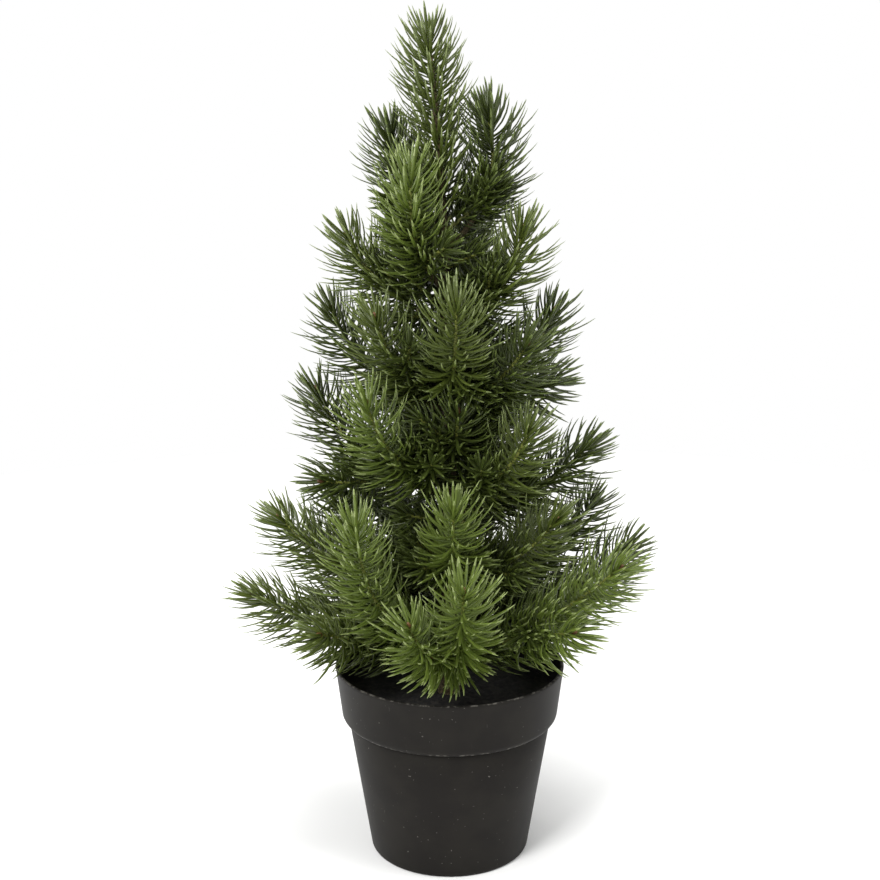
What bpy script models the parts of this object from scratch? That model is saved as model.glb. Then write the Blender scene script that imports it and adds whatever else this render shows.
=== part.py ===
"""Potted fir: an artificial tabletop fir tree with moulded needles, in a black nursery pot.

Units are metres and +Z is up. The origin is the middle of the pot's flat underside.
A turn is an angle about +Z in degrees: 0 faces the viewer at -Y, 90 points to the viewer's
right at +X, and 180 to the back.
"""

import math
import random
from collections import namedtuple

import bmesh
import bpy
import numpy as np
from mathutils import Vector

# Pot: a 12 cm nursery pot, with a deep collar under its rim
POT_HEIGHT = 0.1022
RIM_RADIUS = 0.0600
COLLAR_HEIGHT = 0.0252
COLLAR_RADIUS = 0.0569
COLLAR_ROUNDING = 0.0038
SHOULDER_RADIUS = 0.0534
BASE_RADIUS = 0.0422
FOOT_RADIUS = 0.0415
FOOT_ROUNDING = 0.0026
POT_WALL = 0.0014
POT_STEPS = 40
MERGE_DISTANCE = 0.00005

# Fill: the weight in the pot, which holds the trunk
FILL_TOP = 0.0840
FILL_STEPS = 32

# Trunk: a wrapped wire stem from the fill to the middle of the leading spray
TRUNK_TOP = 0.4120
TRUNK_FOOT_RADIUS = 0.0062
TRUNK_RADIUS = 0.0046
TRUNK_TOP_RADIUS = 0.0013
TRUNK_FLARE_HEIGHT = 0.0100
TRUNK_LEAN = 0.0095
TRUNK_LEAN_POWER = 4
TRUNK_RINGS = 14
TRUNK_ROUNDNESS = 4

# Boughs: tapering limbs from the trunk to the foot of each mass
BOUGH_RADIUS = 0.0019
BOUGH_END_RADIUS = 0.0013
BOUGH_RINGS = 5
BOUGH_ROUNDNESS = 1
BARE_SHARE = 0.27

# Masses of needles along the shoots
NEEDLE_SPREAD = 0.0215
NEEDLES_PAST_TIP = 0.0130
MASS_FOOT_RADIUS = 0.0060
HIDDEN_FOOT_RADIUS = 0.0022
MASS_SIDES = 10
MASS_RINGS = 8
FOOT_WIDTH_SHARE = 0.42
WIDENING = 1.7
WIDEST_SHARE = 0.52
TIP_BLUNTNESS = 2.2
UNEVENNESS = 0.40
WAVES = 4
WAVE_PACES = (5.0, 13.0)
WAVE_TURNS = (1, 2, 3)
FORK_SHARE = 0.34
LEADER_FOOT = 0.3460
LEADER_TIP = 0.4230
LEADER_SPREAD = 0.0235

# How closely the middle line of a mass is followed
STEM_POINTS = 22
POINTS_PAST_TIP = 4
BOUGH_POINTS = 8
BEFORE_TIP = 0.96
UPRIGHT = 0.98

# Room left between pieces, and how a mass's points look for it
SEAT_GAP = 0.0003
MASS_GAP = 0.0022
LIMB_GAP = 0.0012
RIM_GAP = 0.0015
FOOT_LENGTH = 0.0080
LEAST_RADIUS = 0.0012
ROOM_STEPS = 26

SEED = 44

Finish = namedtuple("Finish", "colour roughness")
MOULDED_POT = Finish((0.034, 0.032, 0.030), 0.55)
ROUGH_FILL = Finish((0.020, 0.018, 0.016), 0.90)
WRAPPED_STEM = Finish((0.050, 0.042, 0.022), 0.80)
MOULDED_NEEDLES = Finish((0.040, 0.075, 0.022), 0.70)
CUTTER = Finish((0.500, 0.500, 0.500), 0.50)

# A shoot has its turn, how far its tip reaches from the pot's axis, the height of its tip, how
# far it sags under a straight line, as a share of its length, and how far its needles spread.
Shoot = namedtuple("Shoot", "turn reach tip sag spread", defaults=(0.10, NEEDLE_SPREAD))

# A spray has its place, the height of its foot on the trunk, its main shoot with any side
# shoots, and the share of its main stem that is a bare bough.
Spray = namedtuple("Spray", "place foot shoots bare", defaults=(BARE_SHARE,))


def low_shoot(turn, reach, tip):
    """A short straight shoot under a spray of the first tier, with its needles close."""
    return Shoot(turn, reach, tip, 0.0, 0.8 * NEEDLE_SPREAD)


def clothed(place, foot, *shoots):
    """A spray with needles right down to the trunk, so that it shows no bough."""
    return Spray(place, foot, shoots, 0.0)


SPRAYS = (
    # first tier, which hangs over the pot
    Spray("tier1_front", 0.110, (Shoot(5, 0.076, 0.166, 0.14), Shoot(-15, 0.073, 0.147, 0.14))),
    Spray("tier1_front_right", 0.101, (Shoot(62, 0.094, 0.165, 0.0, 0.024), low_shoot(46, 0.074, 0.123))),
    Spray("tier1_right", 0.122, (Shoot(104, 0.098, 0.158), low_shoot(122, 0.078, 0.126))),
    Spray("tier1_back_right", 0.112, (Shoot(150, 0.094, 0.158),)),
    Spray("tier1_back", 0.103, (Shoot(-170, 0.096, 0.146),)),
    Spray("tier1_back_left", 0.117, (Shoot(-128, 0.096, 0.156), low_shoot(-110, 0.076, 0.126))),
    Spray("tier1_left", 0.108, (Shoot(-81, 0.100, 0.144, 0.06), low_shoot(-58, 0.075, 0.132))),
    Spray("tier1_front_left", 0.132, (Shoot(-38, 0.071, 0.188),)),
    # second tier
    Spray("tier2_front", 0.156, (Shoot(2, 0.050, 0.198, 0.18, 0.024),)),
    Spray("tier2_front_right", 0.148, (Shoot(64, 0.058, 0.186),)),
    Spray("tier2_right", 0.140, (Shoot(110, 0.080, 0.181, 0.14),)),
    Spray("tier2_back", 0.150, (Shoot(168, 0.076, 0.190),)),
    Spray("tier2_back_left", 0.159, (Shoot(-138, 0.076, 0.192),)),
    Spray("tier2_left", 0.142, (Shoot(-86, 0.086, 0.182, 0.12),)),
    # third tier
    Spray("tier3_front", 0.214, (Shoot(8, 0.030, 0.242, 0.14),)),
    Spray("tier3_front_left", 0.204, (Shoot(-49, 0.053, 0.248, 0.16),)),
    Spray("tier3_front_right", 0.194, (Shoot(50, 0.050, 0.234, 0.14),)),
    Spray("tier3_right", 0.184, (Shoot(97, 0.071, 0.216),)),
    Spray("tier3_back_right", 0.197, (Shoot(148, 0.064, 0.236),)),
    Spray("tier3_back_left", 0.207, (Shoot(-158, 0.062, 0.240),)),
    Spray("tier3_left", 0.193, (Shoot(-106, 0.071, 0.243, 0.14), Shoot(-84, 0.064, 0.202, 0.05))),
    # fourth tier
    clothed("tier4_front", 0.250, Shoot(4, 0.044, 0.297, 0.20)),
    clothed("tier4_front_right", 0.242, Shoot(50, 0.048, 0.276)),
    clothed("tier4_right", 0.231, Shoot(97, 0.052, 0.286), Shoot(116, 0.060, 0.248, 0.05)),
    clothed("tier4_back", 0.242, Shoot(168, 0.050, 0.290)),
    clothed("tier4_left", 0.238, Shoot(-110, 0.064, 0.285, 0.14)),
    clothed("tier4_front_left", 0.246, Shoot(-54, 0.044, 0.288, 0.14)),
    # fifth tier
    clothed("tier5_left", 0.284, Shoot(-90, 0.050, 0.325, 0.12, 0.0235)),
    clothed("tier5_right", 0.280, Shoot(66, 0.038, 0.329, 0.14)),
    clothed("tier5_back", 0.288, Shoot(164, 0.042, 0.336, 0.12)),
    # sixth tier, which stands up along the trunk
    clothed("tier6_front", 0.298, Shoot(-42, 0.027, 0.358, 0.16, 0.025)),
    Spray("tier6_right", 0.318, (Shoot(85, 0.018, 0.385, 0.16),)),
    clothed("tier6_back_left", 0.326, Shoot(-120, 0.034, 0.374, 0.10)),
)


def outward(turn):
    """The level direction that a turn points in."""
    angle = math.radians(turn)
    return Vector((math.sin(angle), -math.cos(angle), 0.0))


def trunk_axis(height):
    share = (height - FILL_TOP) / (TRUNK_TOP - FILL_TOP)
    return Vector((-TRUNK_LEAN * share**TRUNK_LEAN_POWER, 0.0, height))


def trunk_radius(height):
    share = (height - FILL_TOP) / (TRUNK_TOP - FILL_TOP)
    flare = max(0.0, 1.0 - (height - FILL_TOP) / TRUNK_FLARE_HEIGHT)
    plain = TRUNK_RADIUS + (TRUNK_TOP_RADIUS - TRUNK_RADIUS) * share
    return plain + (TRUNK_FOOT_RADIUS - TRUNK_RADIUS) * flare**2


def bend(start, end, sag, share):
    """The point at a share of the way along a limb that sags below the line from start to end."""
    chord = end - start
    side = Vector((chord.x, chord.y, 0.0)).normalized()
    across = side * chord.z - Vector((0.0, 0.0, 1.0)) * chord.dot(side)
    middle = (start + end) / 2 + across * (2 * sag)
    return start.lerp(middle, share).lerp(middle.lerp(end, share), share)


def shoot_end(shoot):
    return outward(shoot.turn) * shoot.reach + Vector((0.0, 0.0, shoot.tip))


def main_stem(spray, share):
    shoot = spray.shoots[0]
    return bend(trunk_axis(spray.foot), shoot_end(shoot), shoot.sag, share)


def side_stem(spray, shoot, share):
    return bend(main_stem(spray, FORK_SHARE), shoot_end(shoot), shoot.sag, share)


def line_points(point_at, first, last, count):
    return [point_at(first + (last - first) * i / (count - 1)) for i in range(count)]


def remove_start_objects():
    for obj in list(bpy.data.objects):
        bpy.data.objects.remove(obj, do_unlink=True)


def new_collection(name):
    collection = bpy.data.collections.new(name)
    bpy.context.scene.collection.children.link(collection)
    return collection


def new_material(name, finish):
    material = bpy.data.materials.new(name)
    material.use_nodes = True
    shader = material.node_tree.nodes["Principled BSDF"]
    shader.inputs["Base Color"].default_value = (*finish.colour, 1.0)
    shader.inputs["Roughness"].default_value = finish.roughness
    shader.inputs["Metallic"].default_value = 0.0
    material.diffuse_color = (*finish.colour, 1.0)
    return material


def new_object(name, mesh, collection, finish):
    obj = bpy.data.objects.new(name, mesh)
    collection.objects.link(obj)
    mesh.materials.clear()
    mesh.materials.append(new_material(name, finish))
    return obj


def hide_helper(obj):
    obj.hide_render = True
    obj.display_type = "WIRE"


def boolean(obj, other, operation):
    modifier = obj.modifiers.new(other.name, "BOOLEAN")
    modifier.operation = operation
    modifier.solver = "EXACT"
    modifier.object = other


def turned(name, profile, steps, collection, finish):
    """A solid turned about +Z from a profile of (radius, height) that runs down its outer side."""
    mesh = bpy.data.meshes.new(name)
    edges = [(i, i + 1) for i in range(len(profile) - 1)]
    mesh.from_pydata([(radius, 0.0, height) for radius, height in profile], edges, [])
    obj = new_object(name, mesh, collection, finish)
    screw = obj.modifiers.new("turn", "SCREW")
    screw.steps = steps
    screw.render_steps = steps
    screw.use_merge_vertices = True
    screw.merge_threshold = MERGE_DISTANCE
    return obj


def limb(name, points, radii, collection, finish, roundness):
    """A closed tapering limb through the points, made from a bevelled curve."""
    curve = bpy.data.curves.new(name, "CURVE")
    curve.dimensions = "3D"
    curve.bevel_depth = 1.0
    curve.bevel_resolution = roundness
    curve.use_fill_caps = True
    spline = curve.splines.new("POLY")
    spline.points.add(len(points) - 1)
    for place, point, radius in zip(spline.points, points, radii):
        place.co = (*point, 1.0)
        place.radius = radius
    guide = bpy.data.objects.new(name + "_guide", curve)
    collection.objects.link(guide)
    graph = bpy.context.evaluated_depsgraph_get()
    mesh = bpy.data.meshes.new_from_object(guide.evaluated_get(graph))
    bpy.data.objects.remove(guide, do_unlink=True)
    welded = bmesh.new()
    welded.from_mesh(mesh)
    bmesh.ops.remove_doubles(welded, verts=welded.verts, dist=MERGE_DISTANCE)
    bmesh.ops.recalc_face_normals(welded, faces=welded.faces)
    welded.to_mesh(mesh)
    welded.free()
    return new_object(name, mesh, collection, finish)


def collar_foot():
    """The height where the collar's straight side ends."""
    return POT_HEIGHT - COLLAR_HEIGHT


def make_pot(parts):
    """The pot: a turned shell, with its collar, tapering body and rounded foot."""
    shoulder = collar_foot() - COLLAR_ROUNDING
    overhang = COLLAR_RADIUS - SHOULDER_RADIUS
    rounding = [
        (
            SHOULDER_RADIUS + overhang * math.cos(math.radians(angle)),
            collar_foot() - COLLAR_ROUNDING * math.sin(math.radians(angle)),
        )
        for angle in (0, 30, 60, 90)
    ]
    profile = [
        (RIM_RADIUS - POT_WALL, POT_HEIGHT),
        (RIM_RADIUS, POT_HEIGHT),
        *rounding,
        (BASE_RADIUS, FOOT_ROUNDING),
        (FOOT_RADIUS, 0.0),
        (0.0, 0.0),
        (0.0, POT_WALL),
        (BASE_RADIUS - POT_WALL, POT_WALL),
        (SHOULDER_RADIUS - POT_WALL, shoulder + POT_WALL),
        (COLLAR_RADIUS - POT_WALL, collar_foot()),
        (RIM_RADIUS - POT_WALL, POT_HEIGHT),
    ]
    return turned("pot", profile, POT_STEPS, parts, MOULDED_POT)


def make_fill(parts):
    """The fill, turned to lie just inside the pot's wall and floor."""
    inset = POT_WALL + 2 * SEAT_GAP
    flare = (RIM_RADIUS - COLLAR_RADIUS) / COLLAR_HEIGHT
    profile = [
        (0.0, FILL_TOP),
        (COLLAR_RADIUS - inset + flare * (FILL_TOP - collar_foot()), FILL_TOP),
        (COLLAR_RADIUS - inset, collar_foot()),
        (SHOULDER_RADIUS - inset, collar_foot() - COLLAR_ROUNDING + POT_WALL),
        (BASE_RADIUS - inset, POT_WALL + SEAT_GAP),
        (0.0, POT_WALL + SEAT_GAP),
    ]
    return turned("pot_fill", profile, FILL_STEPS, parts, ROUGH_FILL)


def make_trunk(name, collection, extra, finish):
    """The trunk from the fill to its tip, made wider all round by extra for use as a cutter."""
    first = FILL_TOP + SEAT_GAP - extra
    last = TRUNK_TOP + extra
    heights = [first + (last - first) * i / (TRUNK_RINGS - 1) for i in range(TRUNK_RINGS)]
    heights.insert(1, FILL_TOP + TRUNK_FLARE_HEIGHT / 2)
    points = [trunk_axis(height) for height in heights]
    radii = [trunk_radius(height) + extra for height in heights]
    return limb(name, points, radii, collection, finish, TRUNK_ROUNDNESS)


def make_bough(spray, parts, trunk_room):
    points = line_points(lambda share: main_stem(spray, share), 0.0, spray.bare, BOUGH_RINGS)
    radii = np.linspace(BOUGH_RADIUS, BOUGH_END_RADIUS, BOUGH_RINGS)
    bough = limb("bough_" + spray.place, points, radii, parts, WRAPPED_STEM, BOUGH_ROUNDNESS)
    boolean(bough, trunk_room, "DIFFERENCE")


class Lobe:
    """A run of needles along one stem: its middle line, and the mass that it belongs to."""

    def __init__(self, place, spread, point_at, first, foot_radius=MASS_FOOT_RADIUS):
        self.place = place
        self.spread = spread
        self.foot_radius = foot_radius
        tip = point_at(1.0)
        ahead = (tip - point_at(BEFORE_TIP)).normalized()
        run = line_points(point_at, first, 1.0, STEM_POINTS)
        step = NEEDLES_PAST_TIP / POINTS_PAST_TIP
        run += [tip + ahead * step * count for count in range(1, POINTS_PAST_TIP + 1)]
        self.line = np.array([tuple(point) for point in run])
        steps = np.linalg.norm(np.diff(self.line, axis=0), axis=1)
        self.along = np.concatenate([[0.0], np.cumsum(steps)])
        self.length = self.along[-1]

    def middle(self, distance):
        return Vector([np.interp(distance, self.along, self.line[:, i]) for i in range(3)])

    def direction(self, distance):
        low = max(0.0, distance - self.length / STEM_POINTS)
        high = min(self.length, distance + self.length / STEM_POINTS)
        return (self.middle(high) - self.middle(low)).normalized()


class Lines:
    """Many lines of close points, each with the place that owns it."""

    def __init__(self, owned_lines):
        self.starts = np.concatenate([line[:-1] for _, line in owned_lines])
        self.runs = np.concatenate([np.diff(line, axis=0) for _, line in owned_lines])
        self.owners = np.concatenate([[place] * (len(line) - 1) for place, line in owned_lines])
        self.squares = (self.runs**2).sum(axis=1)

    def distances(self, points):
        """How far each point is from each stretch between two neighbouring points of a line."""
        off = points[:, None, :] - self.starts
        along = (off * self.runs).sum(axis=2)
        shares = np.clip(along / self.squares, 0.0, 1.0)
        squares = (off**2).sum(axis=2) - 2 * shares * along + shares**2 * self.squares
        return np.sqrt(np.maximum(squares, 0.0))


def spray_lobes(spray):
    first = spray.bare
    spread = spray.shoots[0].spread
    foot_radius = MASS_FOOT_RADIUS if spray.bare else HIDDEN_FOOT_RADIUS
    lobes = [Lobe(spray.place, spread, lambda share: main_stem(spray, share), first, foot_radius)]
    for shoot in spray.shoots[1:]:
        lobes.append(
            Lobe(spray.place, shoot.spread, lambda share, s=shoot: side_stem(spray, s, share), 0.0)
        )
    return lobes


def leader_lobe():
    """The leading spray, which stands on the trunk's top."""
    rise = LEADER_TIP - LEADER_FOOT
    return Lobe("leader", LEADER_SPREAD, lambda share: trunk_axis(LEADER_FOOT + rise * share), 0.0)


def bare_boughs():
    """The middle line of each bare bough, with its place."""
    boughs = []
    for spray in SPRAYS:
        if spray.bare:
            run = line_points(lambda share: main_stem(spray, share), 0.0, spray.bare, BOUGH_POINTS)
            boughs.append((spray.place, np.array([tuple(point) for point in run])))
    return boughs


class Room:
    """Says which points a mass may take: nearer to its own stems than to another mass's, and
    clear of the trunk, the boughs and the pot's rim."""

    def __init__(self, lobes, boughs):
        self.stems = Lines([(lobe.place, lobe.line) for lobe in lobes])
        self.boughs = Lines(boughs)

    def free(self, place, points, near_foot):
        away = self.stems.distances(points)
        mine = self.stems.owners == place
        own = away[:, mine].min(axis=1)
        good = away[:, ~mine].min(axis=1) > own + MASS_GAP
        others = self.boughs.owners != place
        good &= self.boughs.distances(points)[:, others].min(axis=1) > BOUGH_RADIUS + LIMB_GAP
        good &= points[:, 2] > POT_HEIGHT + RIM_GAP
        if place != "leader":
            axis = np.array([tuple(trunk_axis(height)) for height in points[:, 2]])
            wide = np.array([trunk_radius(height) for height in points[:, 2]]) + LIMB_GAP
            beside = points[:, 2] < TRUNK_TOP
            close = np.linalg.norm(points - axis, axis=1) < wide
            good &= near_foot | ~(beside & close)
        return good


def lobe_profile(share):
    """The mass's radius along a lobe, as a share of its spread, from foot to tip."""
    grow = min(1.0, FOOT_WIDTH_SHARE + WIDENING * share)
    past = max(0.0, (share - WIDEST_SHARE) / (1.0 - WIDEST_SHARE))
    return grow * math.sqrt(max(0.0, 1.0 - past**TIP_BLUNTNESS))


def across(ahead):
    """Two directions square to ahead and to each other, the first one level where it can be."""
    upright = abs(ahead.z) > UPRIGHT
    side = ahead.cross(Vector((0.0, 1.0, 0.0) if upright else (0.0, 0.0, 1.0))).normalized()
    return side, ahead.cross(side).normalized()


def roomy_radius(room, lobe, middle, way, wanted, near_foot):
    """The furthest that a point may go from the middle line, with room all the way."""
    radii = np.linspace(LEAST_RADIUS, max(wanted, LEAST_RADIUS), ROOM_STEPS)
    points = np.array(middle) + radii[:, None] * np.array(way)
    free = room.free(lobe.place, points, near_foot)
    reached = int(np.argmin(free)) if not free.all() else ROOM_STEPS
    return float(radii[max(0, reached - 1)])


def lobe_mesh(name, lobe, room, noise):
    """A sphere drawn out along the lobe's middle line, each point as far out as it has room."""
    shape = bmesh.new()
    bmesh.ops.create_uvsphere(shape, u_segments=MASS_SIDES, v_segments=MASS_RINGS, radius=1.0)
    waves = [
        (noise.uniform(*WAVE_PACES), noise.uniform(0, 2 * math.pi), noise.choice(WAVE_TURNS))
        for _ in range(WAVES)
    ]
    for vertex in shape.verts:
        ring = round(math.acos(max(-1.0, min(1.0, -vertex.co.z))) / math.pi * MASS_RINGS)
        around = math.atan2(vertex.co.y, vertex.co.x)
        share = max(0.0, (ring - 1) / (MASS_RINGS - 1))
        distance = SEAT_GAP + (lobe.length - SEAT_GAP) * share
        middle = lobe.middle(distance)
        if ring in (0, MASS_RINGS):
            vertex.co = middle
            continue
        side, up = across(lobe.direction(distance))
        way = side * math.cos(around) + up * math.sin(around)
        wave = sum(math.sin(pace * share + phase + turns * around) for pace, phase, turns in waves)
        wanted = lobe.spread * lobe_profile(share) * (1.0 + UNEVENNESS * wave / WAVES)
        if ring == 1:
            wanted = lobe.foot_radius
        near_foot = distance < FOOT_LENGTH
        vertex.co = middle + way * roomy_radius(room, lobe, middle, way, wanted, near_foot)
    mesh = bpy.data.meshes.new(name)
    shape.to_mesh(mesh)
    shape.free()
    return mesh


def make_mass(place, lobes, room, noise, parts, helpers, trunk_room, bare):
    name = "needles_" + place
    mass = new_object(name, lobe_mesh(name, lobes[0], room, noise), parts, MOULDED_NEEDLES)
    for number, lobe in enumerate(lobes[1:]):
        helper_name = f"{name}_side_{number}"
        helper_mesh = lobe_mesh(helper_name, lobe, room, noise)
        helper = new_object(helper_name, helper_mesh, helpers, CUTTER)
        hide_helper(helper)
        boolean(mass, helper, "UNION")
    if not bare:
        boolean(mass, trunk_room, "DIFFERENCE")


def main():
    remove_start_objects()
    parts = new_collection("potted_fir")
    helpers = new_collection("cutters")
    noise = random.Random(SEED)
    make_pot(parts)
    make_fill(parts)
    make_trunk("trunk", parts, 0.0, WRAPPED_STEM)
    trunk_room = make_trunk("trunk_room", helpers, SEAT_GAP, CUTTER)
    hide_helper(trunk_room)
    by_place = {spray.place: spray_lobes(spray) for spray in SPRAYS}
    by_place["leader"] = [leader_lobe()]
    room = Room([lobe for lobes in by_place.values() for lobe in lobes], bare_boughs())
    for spray in SPRAYS:
        if spray.bare:
            make_bough(spray, parts, trunk_room)
        lobes = by_place[spray.place]
        make_mass(spray.place, lobes, room, noise, parts, helpers, trunk_room, spray.bare)
    make_mass("leader", by_place["leader"], room, noise, parts, helpers, trunk_room, 0.0)


main()
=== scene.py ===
# %% [markdown]
# The looks of a tabletop fir
#
# The real thing is an artificial fir about 44 cm tall. Moulded plastic needles stand round
# wrapped wire stems, and a heavy fill holds the trunk in a black nursery pot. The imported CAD
# model gives the frame, and every piece here takes the place of the CAD nodes that it stands for.

# %% Load the frame
import math
import random
from collections import namedtuple

import bmesh
import bpy
import numpy as np
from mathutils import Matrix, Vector, noise


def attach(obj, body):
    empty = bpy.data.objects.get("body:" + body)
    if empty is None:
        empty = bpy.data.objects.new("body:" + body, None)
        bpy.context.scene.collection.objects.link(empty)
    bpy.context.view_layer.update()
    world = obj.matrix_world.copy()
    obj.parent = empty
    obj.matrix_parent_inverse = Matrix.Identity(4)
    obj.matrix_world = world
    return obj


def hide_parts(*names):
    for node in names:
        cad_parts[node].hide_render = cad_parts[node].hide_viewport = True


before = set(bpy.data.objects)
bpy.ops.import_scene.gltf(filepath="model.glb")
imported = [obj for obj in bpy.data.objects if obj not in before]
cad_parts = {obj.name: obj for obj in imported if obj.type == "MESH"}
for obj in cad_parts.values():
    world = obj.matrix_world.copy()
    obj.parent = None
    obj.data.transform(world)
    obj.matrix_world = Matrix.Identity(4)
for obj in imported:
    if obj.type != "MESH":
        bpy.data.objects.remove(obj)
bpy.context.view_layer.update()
NODES = sorted(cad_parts)
BODY = "root"
MM = 0.001
print("CAD nodes:", len(NODES))

# %% [markdown]
# Helpers
#
# Every operator acts on all that is selected, so each piece starts with nothing selected.
# Colours are written as sRGB hex values, as one reads them off a picture, and one function turns
# them into the linear values that a shader works in. One function adds a node with its settings
# and its links.

# %% Helpers for pieces, colours and nodes


def deselect_all():
    """Leaves edit mode, with nothing selected."""
    if bpy.context.mode != "OBJECT":
        bpy.ops.object.mode_set(mode="OBJECT")
    bpy.ops.object.select_all(action="DESELECT")


def linear(hex_colour):
    """The linear values of an sRGB hex colour, with full alpha."""
    values = [int(hex_colour[i : i + 2], 16) / 255 for i in (1, 3, 5)]
    curve = [v / 12.92 if v <= 0.04045 else ((v + 0.055) / 1.055) ** 2.4 for v in values]
    return (*curve, 1.0)


def add_node(material, kind, inputs, output=0, **settings):
    """Adds a node and returns one of its outputs, by name or number.

    Each input, by name or number too, takes a value or another node's output.
    """
    node = material.node_tree.nodes.new(kind)
    for name, value in settings.items():
        setattr(node, name, value)
    for name, value in inputs.items():
        if isinstance(value, bpy.types.NodeSocket):
            material.node_tree.links.new(value, node.inputs[name])
        else:
            node.inputs[name].default_value = value
    return node.outputs[output]


def new_material(name, colour, roughness):
    """A Principled material with plain values. Returns it with its shader node."""
    material = bpy.data.materials.new(name)
    material.use_nodes = True
    shader = material.node_tree.nodes["Principled BSDF"]
    shader.inputs["Base Color"].default_value = linear(colour)
    shader.inputs["Roughness"].default_value = roughness
    return material, shader


def finish_piece(obj, material, slot, *nodes):
    """Gives a piece its material and body, and hides the CAD nodes it stands for. Its slot is not
    used.
    """
    obj.data.materials.clear()
    obj.data.materials.append(material)
    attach(obj, BODY)
    if nodes:
        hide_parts(*nodes)
    print(obj.name, "has", len(obj.data.polygons), "faces for", len(nodes), "nodes")


# %% [markdown]
# Drawing up a turned form
#
# A pot, a bud and even a needle have one ring of points after another. As by hand, each starts
# as a circle, and its edge is extruded, scaled and moved up to the next ring. That keeps clean
# rows of faces, and a list of radius and height is all that a form needs.

# %% A function that draws up rings
# heights this close are the same, and radii that differ by less than this share
SAME_PLACE = 1e-6
RING_MATCH = 0.1


def select_ring(obj, radius, height):
    """In edit mode, selects only the edge points of one ring."""
    shape = bmesh.from_edit_mesh(obj.data)
    for vertex in shape.verts:
        off_ring = abs(math.hypot(vertex.co.x, vertex.co.y) - radius)
        on_ring = off_ring < radius * RING_MATCH
        vertex.select = on_ring and abs(vertex.co.z - height) < SAME_PLACE
    shape.select_flush_mode()
    bmesh.update_edit_mesh(obj.data)


def drawn_up(name, sides, rings, closed_foot):
    """A circle whose edge is extruded to each next ring of (radius, height), then closed."""
    deselect_all()
    radius, height = rings[0]
    bpy.ops.mesh.primitive_circle_add(
        vertices=sides, radius=radius, location=(0, 0, height), fill_type="NOTHING"
    )
    obj = bpy.context.object
    obj.name = name
    obj.data.name = name
    bpy.ops.object.transform_apply(location=True, rotation=True, scale=True)
    bpy.ops.object.mode_set(mode="EDIT")
    bpy.ops.mesh.select_all(action="SELECT")
    if closed_foot:
        bpy.ops.mesh.extrude_edges_move()
        bpy.ops.mesh.merge(type="CENTER")
        select_ring(obj, radius, height)
    for next_radius, next_height in rings[1:]:
        bpy.ops.mesh.extrude_edges_move()
        bpy.ops.transform.resize(
            value=(next_radius / radius, next_radius / radius, 1.0), center_override=(0, 0, height)
        )
        bpy.ops.transform.translate(value=(0, 0, next_height - height))
        radius, height = next_radius, next_height
    bpy.ops.mesh.extrude_edges_move()
    bpy.ops.mesh.merge(type="CENTER")
    bpy.ops.mesh.select_all(action="SELECT")
    bpy.ops.mesh.normals_make_consistent(inside=False)
    bpy.ops.object.mode_set(mode="OBJECT")
    bpy.ops.object.shade_smooth()
    return obj


# %% [markdown]
# The camera
#
# The photo looks down a little at the tree from about three quarters of a metre. The distance,
# height, pitch and lens come from matching the outline of the pot's rim, collar and base.

# %% Camera
PHOTO_SIZE = 880
CAMERA_DISTANCE = 0.763
CAMERA_HEIGHT = 0.4037
CAMERA_PITCH = 13.39
SENSOR_WIDTH = 36.0
FOCAL_PIXELS = 1542.2
AXIS_PIXEL = 449.7

camera_data = bpy.data.cameras.new("camera")
camera_data.sensor_width = SENSOR_WIDTH
camera_data.lens = FOCAL_PIXELS * SENSOR_WIDTH / PHOTO_SIZE
camera_data.shift_x = (PHOTO_SIZE / 2 - AXIS_PIXEL) / PHOTO_SIZE
camera = bpy.data.objects.new("camera", camera_data)
camera.location = (0.0, -CAMERA_DISTANCE, CAMERA_HEIGHT)
camera.rotation_euler = (math.radians(90 - CAMERA_PITCH), 0.0, 0.0)
bpy.context.scene.collection.objects.link(camera)
bpy.context.scene.camera = camera
bpy.context.scene.view_settings.view_transform = "Standard"
print("lens in mm:", round(camera_data.lens, 2))

# %% [markdown]
# The floor
#
# The object is cut out on white. So the floor is a pale disc that catches the shadow of the
# tree, and the world beyond its edge is white. So much white all round would make the black
# pot look grey, so the world lights the tree only half as strongly as the camera sees it.

# %% Floor and world
FLOOR_RADIUS = 0.9
FLOOR_SIDES = 96
WORLD_LIGHT = 0.5
WORLD_SEEN = 1.0

deselect_all()
bpy.ops.mesh.primitive_circle_add(vertices=FLOOR_SIDES, radius=FLOOR_RADIUS, fill_type="NGON")
floor = bpy.context.object
floor.name = "floor"
floor_paper, _ = new_material("pale_studio_paper", "#F7F7F6", 0.9)
floor.data.materials.append(floor_paper)

world = bpy.data.worlds.new("studio")
world.use_nodes = True
backdrop = world.node_tree.nodes["Background"]
backdrop.inputs["Color"].default_value = (1.0, 1.0, 1.0, 1.0)
seen = add_node(world, "ShaderNodeLightPath", {}, "Is Camera Ray")
strength = add_node(
    world, "ShaderNodeMapRange", {"Value": seen, "To Min": WORLD_LIGHT, "To Max": WORLD_SEEN}
)
world.node_tree.links.new(strength, backdrop.inputs["Strength"])
bpy.context.scene.world = world
print("floor radius in m:", FLOOR_RADIUS)

# %% [markdown]
# The light
#
# Large soft lamps stand on both sides and above, as in a product studio. They give the pot its
# lighter left and right edges and leave the inside of the crown dark.

# %% Lamps
LIGHT_AIM = Vector((0.0, 0.0, 0.2))
# name: place and size in metres, power in watts
LAMPS = {
    "key_front_left": ((-0.8, -1.2, 1.3), 0.6, 26.0),
    "fill_right": ((1.3, -0.5, 0.9), 0.9, 9.0),
    "top": ((0.1, -0.2, 1.6), 0.7, 16.0),
    "edge_left": ((-1.2, 0.5, 0.4), 0.8, 9.0),
}

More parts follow.
